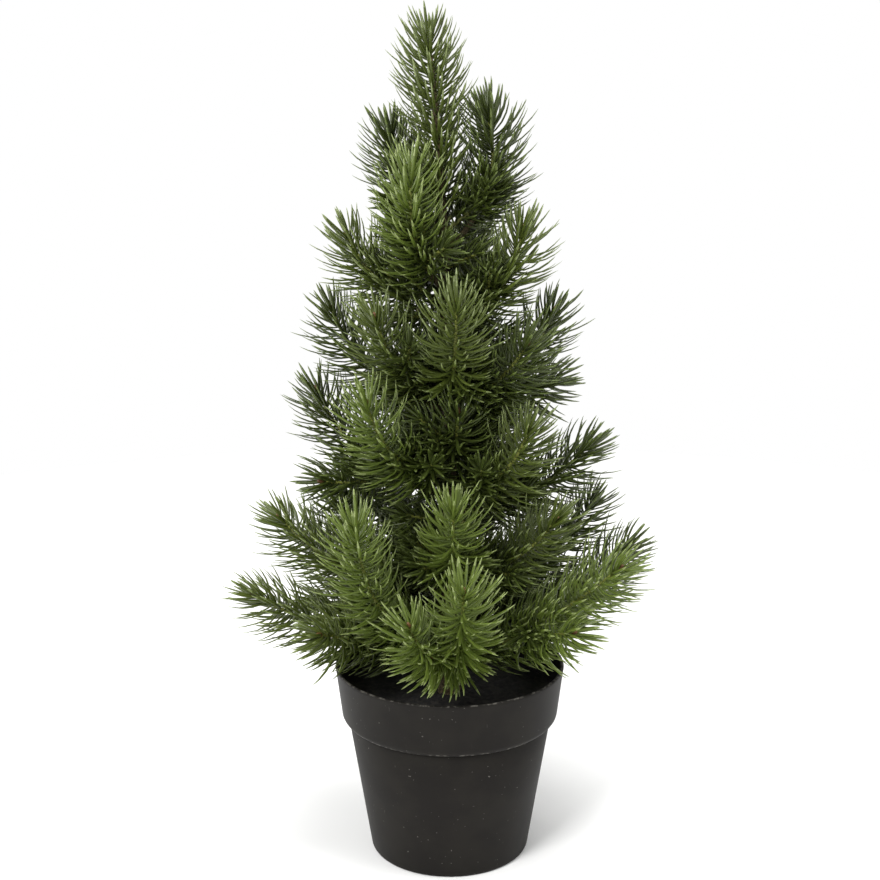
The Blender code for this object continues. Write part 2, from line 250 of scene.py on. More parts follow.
for name, (place, size, power) in LAMPS.items():
    light = bpy.data.lights.new(name, "AREA")
    light.size = size
    light.energy = power
    lamp = bpy.data.objects.new(name, light)
    lamp.location = place
    lamp.rotation_euler = (LIGHT_AIM - lamp.location).to_track_quat("-Z", "Y").to_euler()
    bpy.context.scene.collection.objects.link(lamp)
print("lamps:", len(LAMPS))

# %% [markdown]
# The pot
#
# The real pot is a 12 cm nursery pot, injection moulded in black polypropylene. It has a
# rounded lip, a collar that tapers a little, a rounded shoulder under it, a tapering body and a
# small standing ring. It is drawn up from its foot as one wall, outside and then back down
# inside, because its lip and shoulder need small rings that follow their rounding.

# %% Pot sizes
POT_SIDES = 128
POT_HEIGHT = 0.1022
RIM_RADIUS = 0.0600
WALL = 0.0014
LIP = 0.0009
COLLAR_MIDDLE = (0.0585, 0.0900)
COLLAR_FOOT = 0.0770
COLLAR_RADIUS = 0.0569
SHOULDER_HEIGHT = 0.0732
SHOULDER_RADIUS = 0.0534
BODY_MIDDLE = (0.0478, 0.0385)
BASE_RADIUS = 0.0422
BASE_TOP = 0.0040
RING_RADIUS = 0.0405
RING_INSIDE = ((0.0360, 0.0010), (0.0374, 0.0002))
FOOT_ROUNDING = (0.0016, 0.0030)
CENTRE_UNDER = (0.0050, 0.0010)
CENTRE_INSIDE = (0.0050, 0.0026)
LIP_DEPTH = 0.0040
INSIDE_FLOOR = 0.0030
# rings that hold an edge sharp stand a few of these apart
EDGE_GAP = 0.1 * MM


def arc(centre, size, first, last, steps):
    """Rings round an arc: first and last are angles in degrees, 0 outward and 90 up."""
    angles = [math.radians(first + (last - first) * i / steps) for i in range(steps + 1)]
    return [
        (centre[0] + size[0] * math.cos(angle), centre[1] + size[1] * math.sin(angle))
        for angle in angles
    ]


# %% Pot
overhang = COLLAR_RADIUS - SHOULDER_RADIUS
drop = COLLAR_FOOT - SHOULDER_HEIGHT
pot_rings = [
    # the underside, from its middle out to the standing ring
    CENTRE_UNDER,
    *RING_INSIDE,
    (RING_RADIUS, 0.0),
    *arc((RING_RADIUS, FOOT_ROUNDING[1]), FOOT_ROUNDING, -60, -5, 4),
    # the outside of the body, up to the shoulder
    (BASE_RADIUS + EDGE_GAP, BASE_TOP),
    BODY_MIDDLE,
    (SHOULDER_RADIUS - EDGE_GAP, SHOULDER_HEIGHT - 7 * EDGE_GAP),
    (SHOULDER_RADIUS - 4 * EDGE_GAP, SHOULDER_HEIGHT - 3 * EDGE_GAP),
    (SHOULDER_RADIUS - 2 * EDGE_GAP, SHOULDER_HEIGHT),
    # the shoulder, the collar and the lip
    *arc((SHOULDER_RADIUS, COLLAR_FOOT), (overhang, drop), -80, 0, 8),
    COLLAR_MIDDLE,
    (RIM_RADIUS - 2 * EDGE_GAP, POT_HEIGHT - 2.2 * LIP),
    *arc((RIM_RADIUS - LIP, POT_HEIGHT - LIP), (LIP, LIP), 0, 180, 8),
    # back down inside
    (RIM_RADIUS - 2 * LIP - EDGE_GAP, POT_HEIGHT - LIP_DEPTH),
    (COLLAR_RADIUS - WALL, COLLAR_FOOT),
    (SHOULDER_RADIUS - WALL, SHOULDER_HEIGHT + WALL),
    (BASE_RADIUS - WALL, INSIDE_FLOOR),
    CENTRE_INSIDE,
]
pot = drawn_up("nursery_pot", POT_SIDES, pot_rings, closed_foot=True)
print("rings in the pot's wall:", len(pot_rings))

# %% [markdown]
# Moulded polypropylene
#
# The pot is matte black plastic, moulded with a fine grain. To the eye it is a warm, almost
# black grey with soft highlights at its edges. Handling has left dust specks and short upright
# scratches in a few patches. The pale lines along the lip and the collar's lower edge are
# painted highlights, broken into dashes. Each of these is noise of its own size, cut to a
# mask. Real specks and scratches are finer, about 0.3 mm, but then they would be lost at this
# distance.

# %% Masks on the pot
# size in mm, detail, scale along the height, and where the mask starts and is full
POT_MASKS = {
    "mottle": (18.0, 3.0, 1.0, 0.35, 0.65),
    "specks": (1.5, 1.0, 1.0, 0.765, 0.79),
    "scratches": (0.9, 2.0, 0.07, 0.73, 0.78),
    "patches": (22.0, 1.0, 1.0, 0.52, 0.62),
    # the next mask breaks the painted highlights along the lip and the collar's lower edge into
    # dashes
    "highlight_breakup": (2.2, 5.0, 1.0, 0.46, 0.66),
}
POT_ROUGHNESS = 0.5
POT_SPECULAR = 0.09

polypropylene, shader = new_material("injection_moulded_polypropylene", "#1C1A18", POT_ROUGHNESS)
shader.inputs["Specular IOR Level"].default_value = POT_SPECULAR
place = add_node(polypropylene, "ShaderNodeTexCoord", {}, "Object")
masks = {}
for name, (size_mm, detail, upright, low, high) in POT_MASKS.items():
    stretched = add_node(
        polypropylene, "ShaderNodeMapping", {"Vector": place, "Scale": (1.0, 1.0, upright)}
    )
    pattern = add_node(
        polypropylene,
        "ShaderNodeTexNoise",
        {"Vector": stretched, "Scale": 1.0 / (size_mm * MM), "Detail": detail},
    )
    masks[name] = add_node(
        polypropylene,
        "ShaderNodeMapRange",
        {"Value": pattern, "From Min": low, "From Max": high},
        interpolation_type="SMOOTHSTEP",
    )
print("masks on the pot:", ", ".join(masks))

# %% Painted highlights on the pot's edges
# A painted highlight lies within a millimetre of an edge: from where it starts to where it is
# full.
COLLAR_EDGE = SHOULDER_HEIGHT + 1.0 * MM
COLLAR_HIGHLIGHT = (1.0 * MM, 0.2 * MM)
LIP_HIGHLIGHT = (POT_HEIGHT - 0.7 * MM, POT_HEIGHT - 0.1 * MM)

height = add_node(polypropylene, "ShaderNodeSeparateXYZ", {"Vector": place}, "Z")
above_edge = add_node(
    polypropylene, "ShaderNodeMath", {0: height, 1: COLLAR_EDGE}, operation="SUBTRACT"
)
from_edge = add_node(polypropylene, "ShaderNodeMath", {0: above_edge}, operation="ABSOLUTE")
near_edges = []
for value, (low, high) in ((from_edge, COLLAR_HIGHLIGHT), (height, LIP_HIGHLIGHT)):
    near_edges.append(
        add_node(
            polypropylene,
            "ShaderNodeMapRange",
            {"Value": value, "From Min": low, "From Max": high},
            interpolation_type="SMOOTHSTEP",
        )
    )
near_edge = add_node(
    polypropylene, "ShaderNodeMath", {0: near_edges[0], 1: near_edges[1]}, operation="MAXIMUM"
)
# the second pair gives the painted highlights along the lip and the collar's lower edge, broken by
# noise
for name, first, second in (
    ("scratches", masks["scratches"], masks["patches"]),
    ("edge_highlights", near_edge, masks["highlight_breakup"]),
):
    masks[name] = add_node(
        polypropylene, "ShaderNodeMath", {0: first, 1: second}, operation="MULTIPLY"
    )
print("painted edge highlights at heights in m:", round(COLLAR_EDGE, 4), POT_HEIGHT)

# %% Colour and grain of the pot
# mask: its strength and its colour
POT_LAYERS = {
    "specks": (0.45, "#7C7973"),
    "scratches": (0.5, "#56534E"),
    # pale painted highlights along the lip and the collar's lower edge
    "edge_highlights": (0.6, "#6E6B65"),
}
POT_MOTTLE = ("#1A1816", "#1E1C19")
# the mould's grain, drawn coarser than the real 0.2 mm, so that it shows
GRAIN_SIZE = 0.7 * MM
GRAIN_DEPTH = 0.1 * MM
GRAIN_STRENGTH = 0.12

colour = add_node(
    polypropylene,
    "ShaderNodeMix",
    {0: masks["mottle"], 6: linear(POT_MOTTLE[0]), 7: linear(POT_MOTTLE[1])},
    2,
    data_type="RGBA",
)
for name, (strength, layer) in POT_LAYERS.items():
    share = add_node(
        polypropylene, "ShaderNodeMath", {0: masks[name], 1: strength}, operation="MULTIPLY"
    )
    colour = add_node(
        polypropylene,
        "ShaderNodeMix",
        {0: share, 6: colour, 7: linear(layer)},
        2,
        data_type="RGBA",
    )
polypropylene.node_tree.links.new(colour, shader.inputs["Base Color"])
grain = add_node(
    polypropylene, "ShaderNodeTexNoise", {"Vector": place, "Scale": 1.0 / GRAIN_SIZE}
)
bump = add_node(
    polypropylene,
    "ShaderNodeBump",
    {"Height": grain, "Strength": GRAIN_STRENGTH, "Distance": GRAIN_DEPTH},
)
polypropylene.node_tree.links.new(bump, shader.inputs["Normal"])
finish_piece(pot, polypropylene, "pot", "pot")

# %% [markdown]
# Materials of two colours
#
# The fill, the tape, the stems and the buds each vary between two close colours, in spots of
# their own real size. So one function makes such a material from a noise that fades from the
# first colour to the second.

# %% A function for a mottled material


def mottled_material(name, colours, roughness, size_mm, detail, fade):
    """A material that goes between two colours. Fade is where the noise starts and ends it."""
    material, shader = new_material(name, colours[0], roughness)
    place = add_node(material, "ShaderNodeTexCoord", {}, "Object")
    pattern = add_node(
        material,
        "ShaderNodeTexNoise",
        {"Vector": place, "Scale": 1.0 / (size_mm * MM), "Detail": detail},
    )
    mask = add_node(
        material,
        "ShaderNodeMapRange",
        {"Value": pattern, "From Min": fade[0], "From Max": fade[1]},
        interpolation_type="SMOOTHSTEP",
    )
    colour = add_node(
        material,
        "ShaderNodeMix",
        {0: mask, 6: linear(colours[0]), 7: linear(colours[1])},
        2,
        data_type="RGBA",
    )
    material.node_tree.links.new(colour, shader.inputs["Base Color"])
    return material


# %% [markdown]
# The fill
#
# A dark cast weight holds the trunk. Its top is rough and a little domed round the stem. It is
# drawn up as a disc of many rings, and noise then lifts its points, since a cast surface has
# no rule of its own. Its colour is nearly black, dry and dull, with paler grains in it.

# %% Fill
FILL_TOP = 0.0840
FILL_SIDES = 96
FILL_RINGS = 40
FILL_RADIUS = 0.0558
FILL_FOOT = (0.0420, 0.0040)
FILL_SIDE = ((0.0515, SHOULDER_HEIGHT + 0.001), (0.0548, COLLAR_FOOT))
FILL_CENTRE = 0.001
LUMPS_PER_METRE = 260.0
# how much each octave fades, how much finer it is, and how many there are
LUMP_OCTAVES = (0.8, 2.1, 4)
LUMP_HEIGHT = 0.0011
MOUND_HEIGHT = 0.0022
MOUND_RADIUS = 0.012

fill_rings = [FILL_FOOT, *FILL_SIDE]
fill_rings += [
    (FILL_RADIUS * (1.0 - i / FILL_RINGS) + FILL_CENTRE, FILL_TOP) for i in range(FILL_RINGS)
]
fill = drawn_up("cast_fill", FILL_SIDES, fill_rings, closed_foot=True)
for vertex in fill.data.vertices:
    if vertex.co.z > FILL_TOP - MM:
        far = math.hypot(vertex.co.x, vertex.co.y)
        rough = noise.fractal(vertex.co * LUMPS_PER_METRE, *LUMP_OCTAVES)
        mound = MOUND_HEIGHT * math.exp(-((far / MOUND_RADIUS) ** 2))
        vertex.co.z += LUMP_HEIGHT * rough + mound
cast = mottled_material(
    "cast_cement_fill",
    ("#121110", "#292622"),
    roughness=0.9,
    size_mm=2.5,
    detail=4.0,
    fade=(0.4, 0.65),
)
finish_piece(fill, cast, "pot_fill", "pot_fill")

# %% [markdown]
# The plan of the tree
#
# Every shoot runs from the trunk to a tip, with a turn round the trunk, a reach, a height and a
# sag. Nearly all have the same sizes as in the CAD model, so the needles fill its solids. A turn
# of 0 faces the viewer, 90 points right and 180 to the back. The first shoot of a spray is its
# main stem, and the others fork from it. The foot is where the main stem leaves the trunk.
# Lengths are in metres, turns in degrees, and a sag is a share of the shoot's length.

# %% The shoots
TRUNK_TOP = 0.4120
TRUNK_FOOT_RADIUS = 0.0062
TRUNK_RADIUS = 0.0046
TRUNK_TOP_RADIUS = 0.0013
TRUNK_FLARE_HEIGHT = 0.0100
TRUNK_LEAN = 0.0095
TRUNK_LEAN_POWER = 4
FORK_SHARE = 0.34
LEADER_FOOT = 0.3380
LEADER_TIP = 0.4195
BARE_SHARE = 0.20

Shoot = namedtuple("Shoot", "turn reach tip sag", defaults=(0.10,))
Spray = namedtuple("Spray", "place tone foot shoots bare")


def spray(place, tone, foot, *shoots, bare=BARE_SHARE):
    """One spray, with the usual bare share at its foot."""
    return Spray(place, tone, foot, shoots, bare)


# a spray's tone is its green: lighter as painted light where light falls, darker as painted shade
SPRAYS = (
    # first tier, which hangs over the pot
    spray(
        "tier1_front", "painted_light", 0.110,
        Shoot(5, 0.076, 0.166, 0.14), Shoot(-15, 0.073, 0.147, 0.14), Shoot(-9, 0.056, 0.126, 0.0),
    ),
    spray(
        "tier1_front_right", "painted_light", 0.101,
        Shoot(61, 0.094, 0.168, 0.04), Shoot(50, 0.078, 0.137, 0.0),
    ),
    spray("tier1_right", "deep", 0.122, Shoot(104, 0.098, 0.158), Shoot(122, 0.078, 0.126, 0.0)),
    spray("tier1_back_right", "middle", 0.112, Shoot(150, 0.094, 0.158)),
    spray("tier1_back", "middle", 0.103, Shoot(-170, 0.096, 0.146)),
    spray(
        "tier1_back_left", "middle", 0.117,
        Shoot(-128, 0.096, 0.156), Shoot(-110, 0.076, 0.126, 0.0),
    ),
    spray(
        "tier1_left", "middle", 0.108,
        Shoot(-81, 0.100, 0.144, 0.06), Shoot(-58, 0.075, 0.132, 0.0),
    ),
    spray("tier1_front_left", "painted_light", 0.120, Shoot(-40, 0.070, 0.192, 0.20)),
    # second tier
    spray("tier2_front", "painted_light", 0.156, Shoot(2, 0.050, 0.198, 0.18)),
    spray("tier2_front_right", "middle", 0.148, Shoot(64, 0.058, 0.186)),
    spray("tier2_right", "deep", 0.140, Shoot(110, 0.080, 0.181, 0.14)),
    spray("tier2_back", "middle", 0.150, Shoot(168, 0.076, 0.190)),
    spray("tier2_back_left", "deep", 0.159, Shoot(-138, 0.076, 0.192)),
    spray(
        "tier2_left", "middle", 0.142,
        Shoot(-86, 0.086, 0.182, 0.12), Shoot(-98, 0.058, 0.196, 0.05),
    ),
    # third tier
    spray("tier3_front", "deep", 0.214, Shoot(8, 0.030, 0.242, 0.14)),
    spray("tier3_front_left", "painted_light", 0.204, Shoot(-49, 0.053, 0.248, 0.16)),
    spray("tier3_front_right", "middle", 0.194, Shoot(50, 0.050, 0.234, 0.14)),
    spray("tier3_right", "deep", 0.184, Shoot(97, 0.071, 0.216)),
    spray("tier3_back_right", "middle", 0.197, Shoot(148, 0.064, 0.236)),
    spray("tier3_back_left", "middle", 0.207, Shoot(-158, 0.062, 0.240)),
    spray(
        "tier3_left", "deep", 0.193,
        Shoot(-106, 0.071, 0.243, 0.14), Shoot(-84, 0.064, 0.202, 0.05),
    ),
    # fourth tier
    spray("tier4_front", "middle", 0.250, Shoot(4, 0.044, 0.297, 0.20)),
    spray("tier4_front_right", "deep", 0.242, Shoot(50, 0.048, 0.276)),
    spray("tier4_right", "deep", 0.231, Shoot(97, 0.052, 0.286), Shoot(116, 0.060, 0.248, 0.05)),
    spray("tier4_back", "middle", 0.242, Shoot(168, 0.050, 0.290)),
    spray("tier4_left", "deep", 0.238, Shoot(-110, 0.064, 0.285, 0.14)),
    spray("tier4_front_left", "middle", 0.246, Shoot(-54, 0.044, 0.288, 0.14)),
    # fifth tier
    spray("tier5_left", "middle", 0.284, Shoot(-90, 0.050, 0.325, 0.12)),
    spray("tier5_right", "middle", 0.280, Shoot(66, 0.038, 0.329, 0.14)),
    spray("tier5_back", "middle", 0.288, Shoot(164, 0.042, 0.336, 0.12)),
    # sixth tier, which stands up along the trunk
    spray("tier6_front", "painted_light", 0.298, Shoot(-42, 0.027, 0.358, 0.16)),
    spray("tier6_right", "deep", 0.318, Shoot(85, 0.018, 0.385, 0.16), bare=0.30),
    spray("tier6_back_left", "deep", 0.326, Shoot(-120, 0.034, 0.374, 0.10)),
)
print("sprays:", len(SPRAYS), "shoots:", sum(len(one.shoots) for one in SPRAYS))

# %% Where the stems run
UPWARD = np.array((0.0, 0.0, 1.0))


def outward(turn):
    """The level way out from the trunk at a turn in degrees."""
    angle = math.radians(turn)
    return np.array((math.sin(angle), -math.cos(angle), 0.0))


def trunk_axis(height):
    """The middle of the trunk at a height. It leans to the left near its top."""
    share = (height - FILL_TOP) / (TRUNK_TOP - FILL_TOP)
    return np.array((-TRUNK_LEAN * share**TRUNK_LEAN_POWER, 0.0, height))


def bend(start, end, sag, share):
    """The point at a share of the way along a stem that sags below the line from start to end."""
    chord = end - start
    side = np.array((chord[0], chord[1], 0.0))
    side /= np.linalg.norm(side)
    across = side * chord[2] - UPWARD * chord.dot(side)
    middle = (start + end) / 2 + across * (2 * sag)
    first = start + (middle - start) * share
    second = middle + (end - middle) * share
    return first + (second - first) * share


# %% Lines along the stems


def shoot_end(shoot):
    """Where the tip of a shoot is."""
    return outward(shoot.turn) * shoot.reach + np.array((0.0, 0.0, shoot.tip))


def main_line(one, first, last, count):
    """Points on a spray's main stem from one share of its way to another."""
    shoot = one.shoots[0]
    shares = np.linspace(first, last, count)
    start = trunk_axis(one.foot)
    return np.array([bend(start, shoot_end(shoot), shoot.sag, share) for share in shares])


def side_line(one, shoot, count):
    """Points on a fork, which leaves the main stem a third of the way along."""
    start = main_line(one, FORK_SHARE, FORK_SHARE, 1)[0]
    shares = np.linspace(0.0, 1.0, count)
    return np.array([bend(start, shoot_end(shoot), shoot.sag, share) for share in shares])


def trunk_line(low, high, count):
    """Points on the trunk's middle between two heights."""
    return np.array([trunk_axis(height) for height in np.linspace(low, high, count)])


print("the trunk's top is at", trunk_axis(TRUNK_TOP).round(4))


# %% [markdown]
# Trunk and boughs
#
# On the real tree the stems are steel wire, wound in a spiral with dull brown-green tape. Each
# turn of tape overlaps the last and leaves a small step. A plain tube would look like wire, so
# each stem is a row of rings whose radius follows the tape's spiral, and the step catches light.
# There are hundreds of stems, and each ring differs, so their points are worked out as arrays
# and not drawn up ring by ring.

# %% Lines and directions
LOOK_AROUND = 0.5 * MM
# a direction that no stem follows, to measure each stem's sides from
REFERENCE = (0.13, 0.99, 0.05)


def along_line(line):
    """The distance of each point along the line."""
    steps = np.linalg.norm(np.diff(line, axis=0), axis=1)
    return np.concatenate([[0.0], np.cumsum(steps)])


def points_on(line, distances):
    """The points at these distances along the line."""
    along = along_line(line)
    return np.stack([np.interp(distances, along, line[:, i]) for i in range(3)], axis=1)


def frames_on(line, distances):
    """At each distance: the way ahead, and two directions across it."""
    ahead = points_on(line, distances + LOOK_AROUND) - points_on(line, distances - LOOK_AROUND)
    last = along_line(line)[-1]
    ahead[distances < LOOK_AROUND] = line[1] - line[0]
    ahead[distances > last - LOOK_AROUND] = line[-1] - line[-2]
    ahead /= np.linalg.norm(ahead, axis=1)[:, None]
    side = np.cross(ahead, REFERENCE)
    side /= np.linalg.norm(side, axis=1)[:, None]
    return ahead, side, np.cross(side, ahead)


# %% Wrapped stems
TAPE_WIDTH = 5.0 * MM
TAPE_STEP = 0.16
TAPE_ROUGHNESS = 0.04
RING_SPACING = 0.9 * MM
FEWEST_RINGS = 4
SEED = 44
rng = np.random.default_rng(SEED)


def wrapped_stem(line, first_radius, last_radius, sides):
    """Points and faces of one taped stem, with a closed end at both ends."""
    length = along_line(line)[-1]
    count = max(FEWEST_RINGS, int(length / RING_SPACING))
    distances = np.linspace(0.0, length, count)
    middles = points_on(line, distances)
    _, side, up = frames_on(line, distances)
    angles = np.linspace(0.0, 2 * np.pi, sides, endpoint=False)
    turns = (distances[:, None] / TAPE_WIDTH - angles / (2 * np.pi)) % 1.0
    radii = np.interp(distances, (0.0, length), (first_radius, last_radius))
    wrap = 1.0 + TAPE_STEP * (0.5 - turns) + TAPE_ROUGHNESS * rng.normal(size=turns.shape)
    radii = radii[:, None] * wrap
    ways = side[:, None] * np.cos(angles)[:, None] + up[:, None] * np.sin(angles)[:, None]
    rings = middles[:, None] + ways * radii[:, :, None]
    points = np.concatenate([rings.reshape(-1, 3), middles[:1], middles[-1:]])
    ring = np.arange(sides)
    after = (ring + 1) % sides
    faces = []
    for i in range(count - 1):
        low, high = i * sides, (i + 1) * sides
        faces.append(np.stack([low + ring, low + after, high + after], axis=1))
        faces.append(np.stack([low + ring, high + after, high + ring], axis=1))
    start, end = count * sides, count * sides + 1
    top = (count - 1) * sides
    faces.append(np.stack([after, ring, np.full(sides, start)], axis=1))
    faces.append(np.stack([top + ring, top + after, np.full(sides, end)], axis=1))
    return points, np.concatenate(faces)


# %% A function that joins parts into one mesh


def joined_mesh(name, parts):
    """One object from many (points, triangles) pairs."""
    offsets = np.cumsum([0] + [len(points) for points, _ in parts])
    points = np.concatenate([points for points, _ in parts])
    faces = np.concatenate([faces + offset for (_, faces), offset in zip(parts, offsets)])
    mesh = bpy.data.meshes.new(name)
    mesh.vertices.add(len(points))
    mesh.vertices.foreach_set("co", points.astype(np.float32).ravel())
    mesh.loops.add(faces.size)
    mesh.loops.foreach_set("vertex_index", faces.astype(np.int32).ravel())
    mesh.polygons.add(len(faces))
    mesh.polygons.foreach_set("loop_start", np.arange(0, faces.size, 3, dtype=np.int32))
    mesh.polygons.foreach_set("use_smooth", np.ones(len(faces), dtype=bool))
    mesh.update(calc_edges=True)
    mesh.validate()
    obj = bpy.data.objects.new(name, mesh)
    bpy.context.scene.collection.objects.link(obj)
    return obj


# %% Trunk
# Crepe tape is matte and fibrous: it looks dull olive brown, with paler worn spots. Its fibres
# are finer than a tenth of a millimetre and can't show here, so the noise has the spots' size.
TRUNK_SIDES = 20
FLARE_STEPS = 6
TRUNK_STEPS = 60

tape = mottled_material(
    "wound_crepe_tape",
    ("#352D1C", "#5E5236"),
    roughness=0.85,
    size_mm=1.2,
    detail=3.0,
    fade=(0.35, 0.65),
)
flare_line = trunk_line(FILL_TOP, FILL_TOP + TRUNK_FLARE_HEIGHT, FLARE_STEPS)
trunk_rest = trunk_line(FILL_TOP + TRUNK_FLARE_HEIGHT, TRUNK_TOP, TRUNK_STEPS)
trunk_parts = [
    wrapped_stem(flare_line, TRUNK_FOOT_RADIUS, TRUNK_RADIUS, TRUNK_SIDES),
    wrapped_stem(trunk_rest, TRUNK_RADIUS, TRUNK_TOP_RADIUS, TRUNK_SIDES),
]
trunk = joined_mesh("wrapped_trunk", trunk_parts)
finish_piece(trunk, tape, "stem", "trunk")

# %% Boughs
BOUGH_RADIUS = 0.0019
BOUGH_SIDES = 10
LEAST_BOUGH_SHARE = 0.27
SHOOT_FOOT_RADIUS = 0.0012
SHOOT_TIP_RADIUS = 0.0006
SHOOT_SIDES = 8
STEM_STEPS = 24

bough_parts = []
twig_parts = []
for one in SPRAYS:
    split = max(one.bare, LEAST_BOUGH_SHARE)
    bough = main_line(one, 0.0, split, STEM_STEPS)
    bough_parts.append(wrapped_stem(bough, BOUGH_RADIUS, SHOOT_FOOT_RADIUS, BOUGH_SIDES))
    tip_lines = [main_line(one, split, 1.0, STEM_STEPS)]
    tip_lines += [side_line(one, shoot, STEM_STEPS) for shoot in one.shoots[1:]]
    for line in tip_lines:
        twig_parts.append(wrapped_stem(line, SHOOT_FOOT_RADIUS, SHOOT_TIP_RADIUS, SHOOT_SIDES))
boughs = joined_mesh("wrapped_boughs", bough_parts)
finish_piece(boughs, tape, "stem", *[name for name in NODES if name.startswith("bough_")])

# %% [markdown]
# One needle
#
# A needle of this tree is a soft strip of moulded polyethylene, up to 28 mm long and a bit over
# a millimetre and a half wide, thinner than it is wide, and drawn to a point. It is made once,
# 1 unit long, as a four-sided form of a few rings. Thousands are laid along the shoots as
# arrays, each bent and turned by its own seeded numbers, and joined into a few meshes.

# %% The needle to copy
NEEDLE_SIDES = 4
NEEDLE_RINGS = [(0.55, 0.0), (0.9, 0.13), (1.0, 0.38), (0.92, 0.62), (0.70, 0.82), (0.38, 0.94)]
TIP_SHARE = 0.80

needle = drawn_up("needle", NEEDLE_SIDES, NEEDLE_RINGS, closed_foot=False)
needle_mesh = needle.data
needle_mesh.calc_loop_triangles()
# The last ring was closed flat. Its middle point moves on to make the tip.
for vertex in needle_mesh.vertices:
    if abs(vertex.co.x) + abs(vertex.co.y) < SAME_PLACE:
        vertex.co.z = 1.0
NEEDLE_POINTS = np.array([tuple(vertex.co) for vertex in needle_mesh.vertices])
NEEDLE_FACES = np.array([tuple(face.vertices) for face in needle_mesh.loop_triangles])
IS_TIP = NEEDLE_POINTS[NEEDLE_FACES][:, :, 2].mean(axis=1) > TIP_SHARE
bpy.data.objects.remove(needle, do_unlink=True)
print("a needle has", len(NEEDLE_FACES), "triangles")

# %% [markdown]
# Needles along a shoot
#
# Each needle leaves the stem at a wide angle and curves forward. Near the tip of the shoot the
# needles are shorter and close up round it, as a brush does. Each next needle turns by the
# golden angle, which spreads them evenly with no rows. Needles that would run through the pot's
# wall or the fill are left out.

# %% Needle sizes
NEEDLE_LENGTH = 0.0280
NEEDLE_WIDTH = 0.00165
NEEDLE_THICKNESS = 0.0009
NEEDLE_SPACING = 0.00036
TOP_SPACING = 0.00028
TOP_TIER_FROM = 0.29
GOLDEN_TURN = math.pi * (3.0 - math.sqrt(5.0))

# angles of a needle to the stem in degrees, and how much less they are at the shoot's tip
START_ANGLE = 75.0
START_ANGLE_LESS = 42.0
END_ANGLE = 23.0
END_ANGLE_LESS = 9.0
# the last part of a shoot in metres, how much shorter its needles get, and every needle's droop
TIP_ZONE = 0.014
TIP_SHORTER = 0.36
DROOP = 0.06

# how much needles differ: the two angles in degrees, their turn round the stem in radians,
# their place in metres, and their length and twist as shares
START_ANGLE_SPREAD = 6.0
END_ANGLE_SPREAD = 8.0
TURN_SPREAD = 0.18
PLACE_SPREAD = 0.3 * MM
LENGTH_SPREAD = 0.09
TWIST_SPREAD = 0.25

POT_INSIDE = RIM_RADIUS - 0.004
POT_OUTSIDE = RIM_RADIUS + 0.002
ABOVE_RIM = POT_HEIGHT + 0.001
ABOVE_FILL = FILL_TOP + 0.003
print("needles on 1 cm of a shoot:", round(0.01 / NEEDLE_SPACING))

# %% Laying needles along a shoot


def clear_of_pot(points):
    """Which needles have no point inside the pot's wall or below the fill."""
    far = np.hypot(points[:, :, 0], points[:, :, 1])
    in_wall = (points[:, :, 2] < ABOVE_RIM) & (far > POT_INSIDE) & (far < POT_OUTSIDE)
    in_fill = (points[:, :, 2] < ABOVE_FILL) & (far < POT_OUTSIDE)
    return ~(in_wall | in_fill).any(axis=1)


def needles_on(line, first, length_share=1.0, spacing=NEEDLE_SPACING):
    """Points of all the needles along one shoot, as (needle, point, xyz)."""
    whole = along_line(line)[-1]
    count = int((whole - first) / spacing)
    distances = np.linspace(first, whole, count) + rng.normal(0.0, PLACE_SPREAD, count)
    distances = np.clip(distances, 0.0, whole)
    middles = points_on(line, distances)
    ahead, side, up = frames_on(line, distances)
    turn = np.arange(count) * GOLDEN_TURN + rng.uniform(0, 2 * np.pi)
    turn += rng.normal(0, TURN_SPREAD, count)
    out = side * np.cos(turn)[:, None] + up * np.sin(turn)[:, None]

    near_tip = np.clip(1.0 - (whole - distances) / TIP_ZONE, 0.0, 1.0)
    start = START_ANGLE - START_ANGLE_LESS * near_tip + rng.normal(0.0, START_ANGLE_SPREAD, count)
    end = END_ANGLE - END_ANGLE_LESS * near_tip + rng.normal(0.0, END_ANGLE_SPREAD, count)
    start, end = np.radians(start), np.radians(end)
    length = NEEDLE_LENGTH * length_share * (1.0 - TIP_SHORTER * near_tip)
    length *= rng.normal(1.0, LENGTH_SPREAD, count)
    start_way = ahead * np.cos(start)[:, None] + out * np.sin(start)[:, None]
    end_way = ahead * np.cos(end)[:, None] + out * np.sin(end)[:, None]
    end_way[:, 2] -= DROOP

    wide = np.cross(ahead, out) + TWIST_SPREAD * rng.normal(size=(count, 3))
    wide -= start_way * (wide * start_way).sum(axis=1)[:, None]
    wide /= np.linalg.norm(wide, axis=1)[:, None]
    flat = np.cross(start_way, wide)
    run = NEEDLE_POINTS[:, 2][None, :, None]
    half = length[:, None, None] / 2
    curve = start_way[:, None] * half * (2 * run - run**2) + end_way[:, None] * half * run**2
    points = middles[:, None] + curve
    points += wide[:, None] * (NEEDLE_POINTS[:, 0] * NEEDLE_WIDTH / 2)[None, :, None]
    points += flat[:, None] * (NEEDLE_POINTS[:, 1] * NEEDLE_THICKNESS / 2)[None, :, None]
    return points[clear_of_pot(points)]


# %% [markdown]
# The branching rule
#
# Needles grow along every main stem and every fork. Each main stem also carries four small side
# shoots on its inner half, and more stand all round the trunk. These stay inside the crown,
# where they hide the trunk and make the dark middle of the tree, and their needles take the
# darkest green, which is painted shade. The leader is the top of the trunk itself. The sprays
# of the top tier are closer set with needles than the others.

# %% Small side shoots
# where they start and how far ahead to look for the way, as shares of the main stem
SIDE_SHOOT_FIRST = 0.06
SIDE_SHOOT_LAST = 0.46
LOOK_AHEAD = 0.05
# how far they point up, aside and ahead, and their length in metres
SIDE_SHOOT_LIFT = (-0.10, 0.60)
SIDE_SHOOT_SPREAD = (0.6, 0.9)
SIDE_SHOOT_AHEAD = 0.55
SIDE_SHOOT_LENGTH = (0.020, 0.028)
SMALL_STEPS = 6
BRANCH_SEED = 7
choose = random.Random(BRANCH_SEED)


